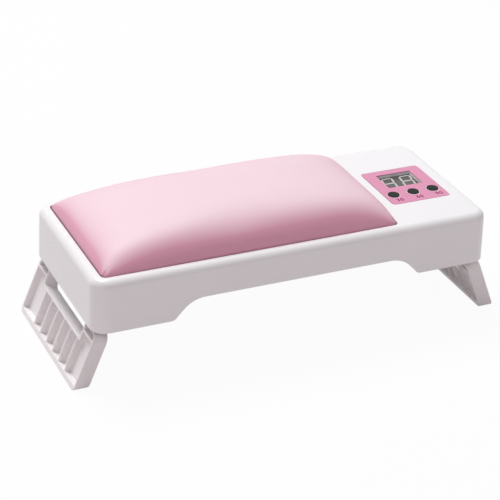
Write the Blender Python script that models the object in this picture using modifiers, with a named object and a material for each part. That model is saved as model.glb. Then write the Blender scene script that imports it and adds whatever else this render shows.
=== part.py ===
"""Padded manicure hand rest with a curing lamp underneath and two folding legs.

Metres, +Z up. The front is -Y, the table is Z = 0, and the origin is the middle of the footprint.
"""

import math

import bmesh
import bpy
from mathutils import Matrix

# Case, measured at its top face
case_length = 0.330
case_width = 0.1395
case_height = 0.0421
case_wall = 0.0025
case_draft = math.radians(1.27)
case_corner_radius = 0.013
case_top_radius = 0.006
ground_clearance = 0.0488

# Gaps: between pieces that touch on the real object, and around moving ones
seat_gap = 0.0003
slide_gap = 0.0003

# Arch for the hand, in the front and back walls
arch_height = 0.0156
arch_inset = 0.0617
arch_slope = math.radians(46.5)
arch_top_radius = 0.024
arch_foot_radius = 0.006

# Recess for the cushion, and the deck that is its floor
recess_left = 0.0084
recess_side = 0.0081
recess_depth = 0.0050
recess_corner_radius = 0.0045
deck_thickness = 0.0022

# Cushion and its board
cushion_gap = 0.0008
cushion_rim_height = 0.0030
cushion_crown_height = 0.0212
cushion_peak_shift = 0.161
cushion_board_thickness = 0.0025

# Control panel
panel_length = 0.0517
panel_width = 0.0575
panel_right = 0.0139
panel_back_shift = -0.0019
panel_to_recess = 0.0117
panel_corner_radius = 0.0030
panel_thickness = 0.0005
window_length = 0.0308
window_width = 0.0232
window_back_margin = 0.00695
well_wall = 0.0015
well_depth = 0.0042

# Push buttons
button_names = ("button_30", "button_60", "button_90")
button_pitch = 0.0178
button_front_margin = 0.01535
button_diameter = 0.0095
button_stand = 0.0007
button_flange_width = 0.0013
button_flange_thickness = 0.0014
button_travel = 0.0005

# Control board, its switches and the power inlet
board_thickness = 0.0016
board_drop = 0.0076
board_side_margin = 0.0030
board_front_margin = 0.0025
board_post_inset = 0.0035
post_radius = 0.0026
switch_side = 0.0060
switch_height = 0.0035
plunger_radius = 0.00175
jack_length = 0.0140
jack_width = 0.0090
jack_height = 0.0095
jack_barrel_radius = 0.0037
jack_bore_radius = 0.0030
jack_bore_depth = 0.0095
jack_right_shift = 0.0100
jack_clearance = 0.0006

# Lamp tray, reflector, lamp board and lamps
tray_thickness = 0.0022
opening_end_inset = 0.090
opening_side_inset = 0.02475
opening_corner_radius = 0.004
reflector_margin = 0.005
reflector_thickness = 0.0010
lamp_board_margin = 0.011
lamp_post_height = 0.0025
lamp_columns = 4
lamp_rows = 3
lamp_end_margin = 0.021
lamp_side_margin = 0.015
lamp_radius = 0.0030
lamp_flange_radius = 0.0036
lamp_flange_thickness = 0.0009
lamp_dome_drop = 0.0041

# Lead between the boards
lead_radius = 0.0011
plug_side = 0.0060
plug_height = 0.0035

# Screws
screw_radius = 0.0013
screw_head_radius = 0.0028
screw_head_height = 0.0017
case_screw_length = 0.0085
deck_screw_length = 0.0045
board_screw_length = 0.0040
boss_radius = 0.0035
boss_side_inset = 0.0087
boss_board_gap = 0.0019
deck_screw_end_inset = 0.04615
deck_screw_side_inset = 0.01665

# Folding legs, one moulding used at both ends
leg_splay = math.radians(22.0)
leg_side_inset = 0.00565
leg_thickness = 0.0114
leg_axis_inset = 0.0122
leg_axis_drop = 0.0116
leg_web = 0.0020
leg_end_wall = 0.0018
leg_rib = 0.0013
leg_rib_count = 6
leg_rib_end_inset = 0.0054
leg_rib_shift = -0.0027
leg_foot_wall = 0.0045
leg_foot_radius = 0.0035
leg_shoulder_drop = 0.0187
leg_shoulder_radius = 0.0075
leg_divider = 0.0015
leg_notch_drop = 0.0267
leg_ear_width = 0.0217
leg_notch_radius = 0.0045
leg_ear_pocket_drop = 0.0090

# Leg hinges
hinge_pin_radius = 0.0015
hinge_cheek = 0.0030
hinge_base = 0.0015
hinge_peg_radius = 0.0015
stop_lip_height = 0.0030

# Small features
dimple_radius = 0.0009
dimple_depth = 0.0008
dimple_side = 0.0247
dimple_height = 0.0247

# Places worked out from the sizes above
case_low = ground_clearance
case_top = case_low + case_height
deck_top = case_top - recess_depth
deck_low = deck_top - deck_thickness
plate_low = case_top - case_wall
recess_width = case_width - 2 * recess_side
recess_length = case_length - recess_left - panel_to_recess - panel_length - panel_right
recess_x = -case_length / 2 + recess_left + recess_length / 2
panel_x = case_length / 2 - panel_right - panel_length / 2
panel_y = panel_back_shift
window_y = panel_y + panel_width / 2 - window_back_margin - window_width / 2
button_y = panel_y - panel_width / 2 + button_front_margin
board_top = plate_low - board_drop
board_low = board_top - board_thickness
board_length = panel_length + 2 * board_side_margin
board_left = panel_x - board_length / 2
board_right = panel_x + board_length / 2
board_front = panel_y - panel_width / 2 - board_front_margin
jack_x = panel_x + jack_right_shift
jack_z = board_low - seat_gap - jack_height / 2
tray_top = board_low - seat_gap - jack_height - jack_clearance
tray_low = tray_top - tray_thickness
opening_length = case_length - 2 * opening_end_inset
opening_width = case_width - 2 * opening_side_inset
boss_x = board_left - boss_radius - boss_board_gap
leg_axis_x = case_length / 2 - leg_axis_inset
leg_axis_z = tray_low - leg_axis_drop
leg_width = case_width - 2 * leg_side_inset
leg_notch_width = leg_width - 2 * leg_ear_width
leg_rib_pitch = (leg_notch_width - 2 * leg_rib_end_inset) / (leg_rib_count - 1)
leg_half_thickness = leg_thickness / 2
knuckle_outer = leg_width / 2 - leg_shoulder_radius
knuckle_inner = leg_notch_width / 2
button_flange_top = plate_low - seat_gap
button_flange_low = button_flange_top - button_flange_thickness


def clear_scene():
    for obj in list(bpy.data.objects):
        bpy.data.objects.remove(obj, do_unlink=True)


def new_collection(name, parent):
    collection = bpy.data.collections.new(name)
    parent.children.link(collection)
    return collection


clear_scene()
parts = new_collection("manicure_hand_rest", bpy.context.scene.collection)
cutters = new_collection("cutters", bpy.context.scene.collection)
cutters.hide_render = True


def finish(name, colour, roughness, metallic=0.0):
    """A Principled material."""
    found = bpy.data.materials.new(name)
    found.use_nodes = True
    shader = found.node_tree.nodes["Principled BSDF"]
    shader.inputs["Base Color"].default_value = (*colour, 1.0)
    shader.inputs["Roughness"].default_value = roughness
    shader.inputs["Metallic"].default_value = metallic
    return found


white_plastic = finish("white_plastic", (0.84, 0.82, 0.83), 0.35)
leg_plastic = finish("leg_plastic", (0.80, 0.77, 0.78), 0.40)
pink_leather = finish("pink_leather", (0.83, 0.50, 0.58), 0.45)
pink_film = finish("pink_film", (0.78, 0.29, 0.48), 0.35)
black_rubber = finish("black_rubber", (0.03, 0.03, 0.03), 0.45)
display_face = finish("display_face", (0.17, 0.15, 0.15), 0.30)
green_board = finish("green_board", (0.03, 0.20, 0.08), 0.50)
white_board = finish("white_board", (0.85, 0.85, 0.82), 0.50)
mirror_sheet = finish("mirror_sheet", (0.88, 0.88, 0.90), 0.12, 1.0)
clear_lens = finish("clear_lens", (0.72, 0.70, 0.82), 0.10)
black_plastic = finish("black_plastic", (0.04, 0.04, 0.04), 0.40)
board_wood = finish("board_wood", (0.55, 0.42, 0.28), 0.70)
steel = finish("steel", (0.60, 0.60, 0.62), 0.30, 1.0)


def mesh_object(name, mesh, collection=parts, material=None):
    obj = bpy.data.objects.new(name, mesh)
    collection.objects.link(obj)
    if collection is parts:
        mesh.materials.append(material)
        mesh.shade_smooth()
        mesh.set_sharp_from_angle(angle=math.radians(30))
    else:
        obj.hide_render = True
        obj.display_type = "WIRE"
    return obj


def cut(target, *tools):
    for tool in tools:
        modifier = target.modifiers.new("cut_" + tool.name, "BOOLEAN")
        modifier.operation = "DIFFERENCE"
        modifier.object = tool


def join(target, *tools):
    for tool in tools:
        modifier = target.modifiers.new("join_" + tool.name, "BOOLEAN")
        modifier.operation = "UNION"
        modifier.object = tool


def outline(corners, step=math.radians(18)):
    """Points of a closed outline through (x, y, radius) corners, given anticlockwise."""
    points = []
    for i, (x, y, radius) in enumerate(corners):
        if radius <= 0:
            points.append((x, y))
            continue
        before = corners[i - 1]
        after = corners[(i + 1) % len(corners)]
        angle_in = math.atan2(y - before[1], x - before[0])
        angle_out = math.atan2(after[1] - y, after[0] - x)
        turn = (angle_out - angle_in + math.pi) % (2 * math.pi) - math.pi
        reach = radius * math.tan(abs(turn) / 2)
        side = math.copysign(math.pi / 2, turn)
        centre_x = x - reach * math.cos(angle_in) + radius * math.cos(angle_in + side)
        centre_y = y - reach * math.sin(angle_in) + radius * math.sin(angle_in + side)
        steps = max(2, round(abs(turn) / step))
        for k in range(steps + 1):
            angle = angle_in - side + turn * k / steps
            points.append((centre_x + radius * math.cos(angle), centre_y + radius * math.sin(angle)))
    return [point for i, point in enumerate(points) if math.dist(point, points[i - 1]) > 1e-7]


def rectangle(length, width, radius=0.0, x=0.0, y=0.0):
    half_x, half_y = length / 2, width / 2
    corners = ((-half_x, -half_y), (half_x, -half_y), (half_x, half_y), (-half_x, half_y))
    return outline([(x + a, y + b, radius) for a, b in corners])


def circle(radius, x=0.0, y=0.0, steps=16):
    turns = [2 * math.pi * (k + 0.5) / steps for k in range(steps)]
    return [(x + radius * math.cos(turn), y + radius * math.sin(turn)) for turn in turns]


# How an outline's two axes and its depth lie in the part
FLAT = Matrix.Identity(4)
ALONG_Y = Matrix(((1, 0, 0, 0), (0, 0, 1, 0), (0, 1, 0, 0), (0, 0, 0, 1)))
ALONG_X = Matrix(((0, 0, 1, 0), (1, 0, 0, 0), (0, 1, 0, 0), (0, 0, 0, 1)))


def prism_mesh(name, outlines, low, high, lie=FLAT):
    """Closed outlines filled and drawn out from low to high. An outline inside another is a hole."""
    curve = bpy.data.curves.new(name, "CURVE")
    curve.dimensions = "2D"
    curve.fill_mode = "BOTH"
    curve.extrude = (high - low) / 2
    for points in outlines:
        spline = curve.splines.new("POLY")
        spline.points.add(len(points) - 1)
        for point, (x, y) in zip(spline.points, points):
            point.co = (x, y, 0, 1)
        spline.use_cyclic_u = True
    guide = bpy.data.objects.new(name + "_guide", curve)
    bpy.context.scene.collection.objects.link(guide)
    graph = bpy.context.evaluated_depsgraph_get()
    mesh = bpy.data.meshes.new_from_object(guide.evaluated_get(graph))
    bpy.data.objects.remove(guide, do_unlink=True)
    bpy.data.curves.remove(curve)
    mesh.name = name
    shape = bmesh.new()
    shape.from_mesh(mesh)
    bmesh.ops.remove_doubles(shape, verts=shape.verts, dist=1e-6)
    bmesh.ops.transform(shape, matrix=lie @ Matrix.Translation((0, 0, (low + high) / 2)), verts=shape.verts)
    bmesh.ops.recalc_face_normals(shape, faces=shape.faces)
    shape.to_mesh(mesh)
    shape.free()
    return mesh


def prism(name, outlines, low, high, collection=parts, material=None, lie=FLAT):
    return mesh_object(name, prism_mesh(name, outlines, low, high, lie), collection, material)


def cutter(name, outlines, low, high, lie=FLAT):
    return prism(name, outlines, low, high, cutters, lie=lie)


def plate(name, outer, holes, low, high, material):
    """Flat plate with holes cut right through it."""
    made = prism(name, [outer], low, high, parts, material)
    cut(made, cutter(name + "_holes", holes, low - (high - low), high + (high - low)))
    return made


def turned(name, profile, location, material, steps=12):
    """Profile of (radius, height) points from the top of the axis to its foot, turned about Z."""
    mesh = bpy.data.meshes.new(name)
    edges = [(k, k + 1) for k in range(len(profile) - 1)]
    mesh.from_pydata([(radius, 0, height) for radius, height in profile], edges, [])
    obj = mesh_object(name, mesh, parts, material)
    obj.location = location
    screw = obj.modifiers.new("turn", "SCREW")
    screw.steps = screw.render_steps = steps
    screw.use_merge_vertices = True
    screw.merge_threshold = 0.00001
    screw.use_smooth_shade = True
    return obj


def drafted_block(name, length, width, low, high, corner_radius, top_radius, open_below=False):
    """Block of this size at the top whose walls lean out downwards, with round corners and top edge."""
    lean = (high - low) * math.tan(case_draft)
    shape = bmesh.new()
    bmesh.ops.create_cube(shape, size=1)
    for vert in shape.verts:
        spread = lean if vert.co.z < 0 else 0.0
        vert.co.x = math.copysign(length / 2 + spread, vert.co.x)
        vert.co.y = math.copysign(width / 2 + spread, vert.co.y)
        vert.co.z = high if vert.co.z > 0 else low
    uprights = [edge for edge in shape.edges if abs(edge.verts[0].co.z - edge.verts[1].co.z) > 1e-6]
    bmesh.ops.bevel(shape, geom=uprights, offset=corner_radius, segments=6, profile=0.5, affect="EDGES")
    if top_radius:
        rim = [edge for edge in shape.edges if all(abs(vert.co.z - high) < 1e-6 for vert in edge.verts)]
        bmesh.ops.bevel(shape, geom=rim, offset=top_radius, segments=4, profile=0.5, affect="EDGES")
    if open_below:
        floor = [face for face in shape.faces if all(abs(vert.co.z - low) < 1e-6 for vert in face.verts)]
        bmesh.ops.delete(shape, geom=floor, context="FACES")
    mesh = bpy.data.meshes.new(name)
    shape.to_mesh(mesh)
    shape.free()
    return mesh


def inner_half(size, height):
    """Half of the case's inner length or width at a height."""
    return size / 2 + (case_top - height) * math.tan(case_draft) - case_wall


def case_boss_places():
    side = case_width / 2 - boss_side_inset
    return [(x, y) for x in (-boss_x, 0.0, boss_x) for y in (-side, side)]


def lamp_post_places():
    half_x = opening_length / 2 + lamp_board_margin - post_radius
    half_y = opening_width / 2 + lamp_board_margin - post_radius
    return [(x, y) for x in (-half_x, half_x) for y in (-half_y, half_y)]


board_back = inner_half(case_width, board_low) - 2 * seat_gap


def board_post_places():
    xs = (board_left + board_post_inset, board_right - board_post_inset)
    ys = (board_front + board_post_inset, board_back - board_post_inset)
    return [(x, y) for x in xs for y in ys]


def deck_screw_places():
    half_x = recess_length / 2 - deck_screw_end_inset
    half_y = recess_width / 2 - deck_screw_side_inset
    return [(recess_x + x, y) for x in (-half_x, half_x) for y in (-half_y, half_y)]


def button_places():
    return [(panel_x + (k - 1) * button_pitch, button_y) for k in range(len(button_names))]


def leg_outer_face_x(height):
    """How far out the left leg's outer face is at a height, as a distance from the middle."""
    slope = math.tan(leg_splay)
    return leg_axis_x + leg_half_thickness / math.cos(leg_splay) - slope * (height - leg_axis_z)


def arch_outline():
    """The arch and the space under it, seen from the front."""
    foot = case_length / 2 - arch_inset
    run = arch_height / math.tan(arch_slope)
    below = 0.010
    floor = case_low - 0.0002
    reach = foot + 2 * arch_foot_radius
    half = [
        (reach, floor, 0),
        (foot, floor, arch_foot_radius),
        (foot - run, case_low + arch_height, arch_top_radius),
    ]
    corners = [(-reach, floor - below, 0), (reach, floor - below, 0), *half]
    corners += [(-x, z, radius) for x, z, radius in reversed(half)]
    return outline(corners, math.radians(8))


def make_upper_case():
    mesh = drafted_block("upper_case", case_length, case_width, case_low, case_top, case_corner_radius,
                         case_top_radius, open_below=True)
    case = mesh_object("upper_case", mesh, parts, white_plastic)
    shell = case.modifiers.new("wall", "SOLIDIFY")
    shell.thickness = case_wall
    shell.offset = -1
    shell.use_even_offset = True

    into_plate = case_top - case_wall / 2
    deck = rectangle(recess_length + 2 * case_wall, recess_width + 2 * case_wall,
                     recess_corner_radius + case_wall, recess_x)
    well = rectangle(window_length + 2 * well_wall, window_width + 2 * well_wall, 0, panel_x, window_y)
    join(case, cutter("deck_block", [deck], deck_low, into_plate))
    join(case, cutter("well_block", [well], case_top - well_depth, into_plate))
    for number, (x, y) in enumerate(case_boss_places(), 1):
        under_recess = x < recess_x + recess_length / 2
        boss_top = deck_top - deck_thickness / 2 if under_recess else into_plate
        join(case, cutter(f"case_boss_{number}", [circle(boss_radius, x, y)], tray_top + seat_gap, boss_top))
    posts = [circle(post_radius, x, y, 12) for x, y in board_post_places()]
    join(case, cutter("board_posts", posts, board_top + seat_gap, into_plate))
    for side, name in ((-1, "left"), (1, "right")):
        join(case, cutter("stop_lip_" + name, [stop_lip_outline(side)], -knuckle_outer, knuckle_outer, ALONG_Y))

    recess = rectangle(recess_length, recess_width, recess_corner_radius, recess_x)
    cut(case, cutter("recess", [recess], deck_top, case_top + case_wall))
    film = rectangle(panel_length + 2 * slide_gap, panel_width + 2 * slide_gap,
                     panel_corner_radius, panel_x, panel_y)
    cut(case, cutter("film_recess", [film], case_top - panel_thickness - seat_gap, case_top + case_wall))
    window = rectangle(window_length, window_width, 0, panel_x, window_y)
    hole_radius = button_diameter / 2 + slide_gap
    holes = [circle(hole_radius, x, y, 20) for x, y in button_places()]
    cut(case, cutter("panel_holes", [window, *holes], board_top, case_top + case_wall))
    pilots = [circle(screw_radius + slide_gap, x, y, 12) for x, y in case_boss_places()]
    cut(case, cutter("boss_pilots", pilots, tray_low, tray_low + case_screw_length + 2 * seat_gap))
    deck_holes = [circle(screw_radius + slide_gap, x, y, 12) for x, y in deck_screw_places()]
    cut(case, cutter("deck_holes", deck_holes, deck_low - case_wall, deck_top + case_wall))
    post_pilots = [circle(screw_radius + slide_gap, x, y, 12) for x, y in board_post_places()]
    cut(case, cutter("post_pilots", post_pilots, board_low, board_low + board_screw_length + 2 * seat_gap))
    cut(case, cutter("arch", [arch_outline()], -case_width, case_width, ALONG_Y))
    jack_hole = circle(jack_barrel_radius + slide_gap, jack_x, jack_z)
    cut(case, cutter("jack_hole", [jack_hole], case_width / 2 - 2 * case_wall, case_width, ALONG_Y))
    dimple = circle(dimple_radius, dimple_side, case_low + dimple_height, 8)
    dimple_face = -case_length / 2 - (case_height - dimple_height) * math.tan(case_draft)
    cut(case, cutter("dimple", [dimple], dimple_face - case_wall, dimple_face + dimple_depth, ALONG_X))
    return case


def stop_lip_outline(side):
    """Lip inside the end wall's lower edge that the open leg leans on, seen from the front."""
    wall = inner_half(case_length, case_low) + case_wall / 2
    low, high = case_low, case_low + stop_lip_height
    corners = [
        (wall, low, 0),
        (wall, high + stop_lip_height, 0),
        (leg_outer_face_x(high) + seat_gap, high, 0),
        (leg_outer_face_x(low) + seat_gap, low, 0),
    ]
    points = outline(corners)
    return [(side * x, z) for x, z in points]


def cushion_height(u, v):
    """How high the cushion stands over the case's top, for u and v from -1 to 1 over the recess."""
    rim = (1 - min(abs(u), 1) ** 30) ** 0.5 * (1 - min(abs(v), 1) ** 30) ** 0.5
    run = 1 + cushion_peak_shift if u < cushion_peak_shift else 1 - cushion_peak_shift
    along = min(abs(u - cushion_peak_shift) / run, 1)
    crown = (1 - along ** 3.445) ** 0.56 * (1 - min(abs(v), 1) ** 6) ** 1.08
    return cushion_rim_height * rim + cushion_crown_height * crown


def graded(half, edge_steps, middle_steps):
    """Places from -half to half, close together near both ends."""
    edge = edge_steps[-1]
    inner = [-half + edge + (2 * half - 2 * edge) * k / middle_steps for k in range(1, middle_steps)]
    left = [-half + step for step in edge_steps]
    return left + inner + [-place for place in reversed(left)]


def round_corner(x, y, half_x, half_y, radius):
    """Moves a point of a rectangle's grid in at the corners, so that the rim is round there."""
    over_x = (abs(x) - half_x + radius) / radius
    over_y = (abs(y) - half_y + radius) / radius
    if over_x <= 0 or over_y <= 0:
        return x, y
    turn = math.atan2(over_y, over_x)
    reach = max(over_x, over_y) * radius
    new_x = half_x - radius + reach * math.cos(turn)
    new_y = half_y - radius + reach * math.sin(turn)
    return math.copysign(new_x, x), math.copysign(new_y, y)


def make_cushion():
    half_x = recess_length / 2 - cushion_gap
    half_y = recess_width / 2 - cushion_gap
    edge_steps = (0.0, 0.0015, 0.0045, 0.0090, 0.0150, 0.0230)
    columns = graded(half_x, edge_steps, 8)
    rows = graded(half_y, edge_steps, 5)
    low = deck_top + cushion_board_thickness + 2 * seat_gap
    shape = bmesh.new()
    grid = []
    for x in columns:
        line = []
        for y in rows:
            height = case_top + cushion_height(x / half_x, y / half_y)
            new_x, new_y = round_corner(x, y, half_x, half_y, recess_corner_radius)
            line.append(shape.verts.new((recess_x + new_x, new_y, height)))
        grid.append(line)
    for i in range(len(columns) - 1):
        for j in range(len(rows) - 1):
            shape.faces.new((grid[i][j], grid[i + 1][j], grid[i + 1][j + 1], grid[i][j + 1]))
    rim = [edge for edge in shape.edges if edge.is_boundary]
    made = bmesh.ops.extrude_edge_only(shape, edges=rim)["geom"]
    for vert in (item for item in made if isinstance(item, bmesh.types.BMVert)):
        vert.co.z = low
    foot = [item for item in made if isinstance(item, bmesh.types.BMEdge) and item.is_boundary]
    bmesh.ops.contextual_create(shape, geom=foot)
    bmesh.ops.recalc_face_normals(shape, faces=shape.faces)
    mesh = bpy.data.meshes.new("cushion")
    shape.to_mesh(mesh)
    shape.free()
    return mesh_object("cushion", mesh, parts, pink_leather)


def make_cushion_board():
    low = deck_top + seat_gap
    outer = rectangle(recess_length - 2 * cushion_gap, recess_width - 2 * cushion_gap,
                      recess_corner_radius, recess_x)
    holes = [circle(screw_radius + slide_gap, x, y, 12) for x, y in deck_screw_places()]
    plate("cushion_board", outer, holes, low, low + cushion_board_thickness, board_wood)


def make_panel_overlay():
    outer = rectangle(panel_length, panel_width, panel_corner_radius, panel_x, panel_y)
    window = rectangle(window_length, window_width, 0, panel_x, window_y)
    holes = [circle(button_diameter / 2 + 2 * slide_gap, x, y, 20) for x, y in button_places()]
    plate("panel_overlay", outer, [window, *holes], case_top - panel_thickness, case_top, pink_film)


def make_display():
    outer = rectangle(window_length + 2 * well_wall, window_width + 2 * well_wall, 0, panel_x, window_y)
    low = board_top + seat_gap
    prism("display_module", [outer], low, case_top - well_depth - seat_gap, parts, display_face)


def make_buttons():
    radius = button_diameter / 2
    flange_radius = radius + button_flange_width
    dome = button_stand * 0.6
    edge = case_top + button_stand - dome
    for name, (x, y) in zip(button_names, button_places()):
        profile = [(0, case_top + button_stand)]
        for k in range(1, 5):
            turn = math.pi / 2 * k / 4
            profile.append((radius * math.sin(turn), edge + dome * math.cos(turn)))
        profile += [(radius, button_flange_top), (flange_radius, button_flange_top),
                    (flange_radius, button_flange_low), (0, button_flange_low)]
        turned(name, profile, (x, y, 0), black_rubber, 20)


def make_control_board():
    centre_y = (board_front + board_back) / 2
    outer = rectangle(board_length, board_back - board_front, 0, panel_x, centre_y)
    holes = [circle(screw_radius + slide_gap, x, y, 12) for x, y in board_post_places()]
    plate("control_board", outer, holes, board_low, board_top, green_board)


def make_tact_switches():
    body_low = board_top + seat_gap
    body_top = body_low + switch_height
    plunger_top = button_flange_low - button_travel - slide_gap
    for name, (x, y) in zip(button_names, button_places()):
        switch = prism(name.replace("button", "tact_switch"), [rectangle(switch_side, switch_side, 0, x, y)],
                       body_low, body_top, parts, black_plastic)
        plunger = circle(plunger_radius, x, y, 12)
        join(switch, cutter(name + "_plunger", [plunger], (body_low + body_top) / 2, plunger_top))


def make_dc_jack():
    inner_wall = inner_half(case_width, jack_z)
    back = inner_wall - seat_gap
    body = [(-jack_width / 2, -jack_height / 2), (jack_width / 2, -jack_height / 2),
            (jack_width / 2, jack_height / 2), (-jack_width / 2, jack_height / 2)]
    place = [(jack_x + x, jack_z + z) for x, z in body]
    jack = prism("dc_jack", [place], back - jack_length, back, parts, black_plastic, ALONG_Y)
    mouth = inner_wall + case_wall - slide_gap
    barrel = circle(jack_barrel_radius, jack_x, jack_z)
    join(jack, cutter("jack_barrel", [barrel], back - jack_length / 2, mouth, ALONG_Y))
    bore = circle(jack_bore_radius, jack_x, jack_z)
    cut(jack, cutter("jack_bore", [bore], mouth - jack_bore_depth, mouth + case_wall, ALONG_Y))
    contact = circle(jack_bore_radius / 3, jack_x, jack_z, 8)
    join(jack, cutter("jack_contact", [contact], mouth - jack_bore_depth - case_wall, mouth - case_wall, ALONG_Y))


def hinge_peg_places(side):
    """Heat-stake pegs that hold each hinge bracket under the tray."""
    inner = knuckle_inner - slide_gap - hinge_cheek / 2
    outer = knuckle_outer + slide_gap + hinge_cheek / 2
    return [(side * leg_axis_x, end * y) for y in (inner, outer) for end in (-1, 1)]


def make_lamp_tray():
    length = 2 * (inner_half(case_length, tray_top) - seat_gap)
    width = 2 * (inner_half(case_width, tray_top) - seat_gap)
    outer = rectangle(length, width, case_corner_radius - case_wall)
    opening = rectangle(opening_length, opening_width, opening_corner_radius)
    screws = [circle(screw_radius + slide_gap, x, y, 12) for x, y in case_boss_places()]
    pegs = [circle(hinge_peg_radius + slide_gap, x, y, 12) for side in (-1, 1) for x, y in hinge_peg_places(side)]
    tray = plate("lamp_tray", outer, [opening, *screws, *pegs], tray_low, tray_top, white_plastic)
    posts = [circle(post_radius, x, y, 12) for x, y in lamp_post_places()]
    join(tray, cutter("lamp_posts", posts, tray_top - tray_thickness / 2, tray_top + lamp_post_height))
    pilots = [circle(screw_radius + slide_gap, x, y, 12) for x, y in lamp_post_places()]
    cut(tray, cutter("lamp_post_pilots", pilots, tray_low - case_wall, tray_top + 2 * lamp_post_height))


def lamp_places():
    reach_x = opening_length / 2 - lamp_end_margin
    reach_y = opening_width / 2 - lamp_side_margin
    xs = [reach_x * (2 * i / (lamp_columns - 1) - 1) for i in range(lamp_columns)]
    ys = [reach_y * (2 * j / (lamp_rows - 1) - 1) for j in range(lamp_rows)]
    return [(x, y) for x in xs for y in ys]


lamp_board_low = tray_top + lamp_post_height + seat_gap
lamp_board_top = lamp_board_low + board_thickness
lamp_board_length = opening_length + 2 * lamp_board_margin
lamp_board_width = opening_width + 2 * lamp_board_margin


def make_lamps():
    outer = rectangle(opening_length + 2 * reflector_margin, opening_width + 2 * reflector_margin,
                      opening_corner_radius)
    holes = [circle(lamp_radius + slide_gap, x, y, 12) for x, y in lamp_places()]
    low = tray_top + seat_gap
    plate("reflector", outer, holes, low, low + reflector_thickness, mirror_sheet)
    board = rectangle(lamp_board_length, lamp_board_width, 0)
    screw_holes = [circle(screw_radius + slide_gap, x, y, 12) for x, y in lamp_post_places()]
    plate("lamp_board", board, screw_holes, lamp_board_low, lamp_board_top, white_board)
    top = lamp_board_low - seat_gap
    flange_low = top - lamp_flange_thickness
    for number, (x, y) in enumerate(lamp_places(), 1):
        profile = [(0, top), (lamp_flange_radius, top), (lamp_flange_radius, flange_low), (lamp_radius, flange_low)]
        dome_top = top - lamp_dome_drop + lamp_radius
        for k in range(4):
            turn = math.pi / 2 * k / 3
            profile.append((lamp_radius * math.cos(turn), dome_top - lamp_radius * math.sin(turn)))
        turned(f"lamp_{number:02d}", profile, (x, y, 0), clear_lens)


def screw(name, place, head_seat, length, points_up):
    """Pan-head screw whose head lies against head_seat and whose shank runs up or down from it."""
    way = 1 if points_up else -1
    x, y = place
    head_far = head_seat - way * screw_head_height
    tip = head_seat + way * length
    profile = [(0, head_far), (screw_head_radius * 0.7, head_far),
               (screw_head_radius, head_far + way * screw_head_height * 0.4), (screw_head_radius, head_seat),
               (screw_radius, head_seat), (screw_radius, tip - way * screw_radius), (0, tip)]
    if points_up:
        profile.reverse()
    turned(name, profile, (x, y, 0), steel)


def make_screws():
    for number, place in enumerate(case_boss_places(), 1):
        screw(f"case_screw_{number}", place, tray_low - seat_gap, case_screw_length, True)
    for number, place in enumerate(deck_screw_places(), 1):
        screw(f"cushion_screw_{number}", place, deck_low - seat_gap, deck_screw_length, True)
    for number, place in enumerate(board_post_places(), 1):
        screw(f"control_board_screw_{number}", place, board_low - seat_gap, board_screw_length, True)
    for number, place in enumerate(lamp_post_places(), 1):
        screw(f"lamp_board_screw_{number}", place, lamp_board_top + seat_gap, board_screw_length, False)


def make_lead():
    """Lead from a plug on the lamp board up to a plug under the control board."""
    lamp_end = (lamp_board_length / 2 - plug_side, 0.0, lamp_board_top + seat_gap)
    control_end = (board_left + plug_side, 0.0, board_low - seat_gap)
    prism("lamp_plug", [rectangle(plug_side, plug_side, 0, lamp_end[0])],
          lamp_end[2], lamp_end[2] + plug_height, parts, white_board)
    prism("control_plug", [rectangle(plug_side, plug_side, 0, control_end[0])],
          control_end[2] - plug_height, control_end[2], parts, white_board)
    start_x = lamp_end[0] + plug_side / 2 + seat_gap
    stop_x = control_end[0] - plug_side / 2 - seat_gap
    start_z = lamp_end[2] + plug_height / 2
    stop_z = control_end[2] - plug_height / 2
    curve = bpy.data.curves.new("lead_route", "CURVE")
    curve.dimensions = "3D"
    curve.bevel_depth = lead_radius
    curve.bevel_resolution = 2
    curve.use_fill_caps = True
    spline = curve.splines.new("POLY")
    steps = 10
    spline.points.add(steps)
    for k, point in enumerate(spline.points):
        share = k / steps
        blend = share * share * (3 - 2 * share)
        point.co = (start_x + (stop_x - start_x) * share, 0.0, start_z + (stop_z - start_z) * blend, 1)
    guide = bpy.data.objects.new("lead_guide", curve)
    bpy.context.scene.collection.objects.link(guide)
    graph = bpy.context.evaluated_depsgraph_get()
    mesh = bpy.data.meshes.new_from_object(guide.evaluated_get(graph))
    bpy.data.objects.remove(guide, do_unlink=True)
    shape = bmesh.new()
    shape.from_mesh(mesh)
    bmesh.ops.remove_doubles(shape, verts=shape.verts, dist=1e-6)
    bmesh.ops.recalc_face_normals(shape, faces=shape.faces)
    shape.to_mesh(mesh)
    shape.free()
    mesh_object("lamp_lead", mesh, parts, black_plastic)


def leg_side_outline():
    """The leg's section, seen from the front in its own frame: the hinge axis is 0, 0 and the leg hangs down."""
    half = leg_half_thickness
    axis_height = leg_axis_z
    outer_foot = (axis_height + half * math.sin(leg_splay)) / math.cos(leg_splay)
    inner_foot = (axis_height - half * math.sin(leg_splay)) / math.cos(leg_splay)
    points = [(-half, -outer_foot), (half, -inner_foot)]
    steps = 10
    points += [(half * math.cos(math.pi * k / steps), half * math.sin(math.pi * k / steps)) for k in range(steps + 1)]
    return points


def leg_foot(side):
    """How far below the axis the foot's end is on the outer face (-1) or the inner face (1)."""
    return (leg_axis_z - side * leg_half_thickness * math.sin(leg_splay)) / math.cos(leg_splay)


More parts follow.
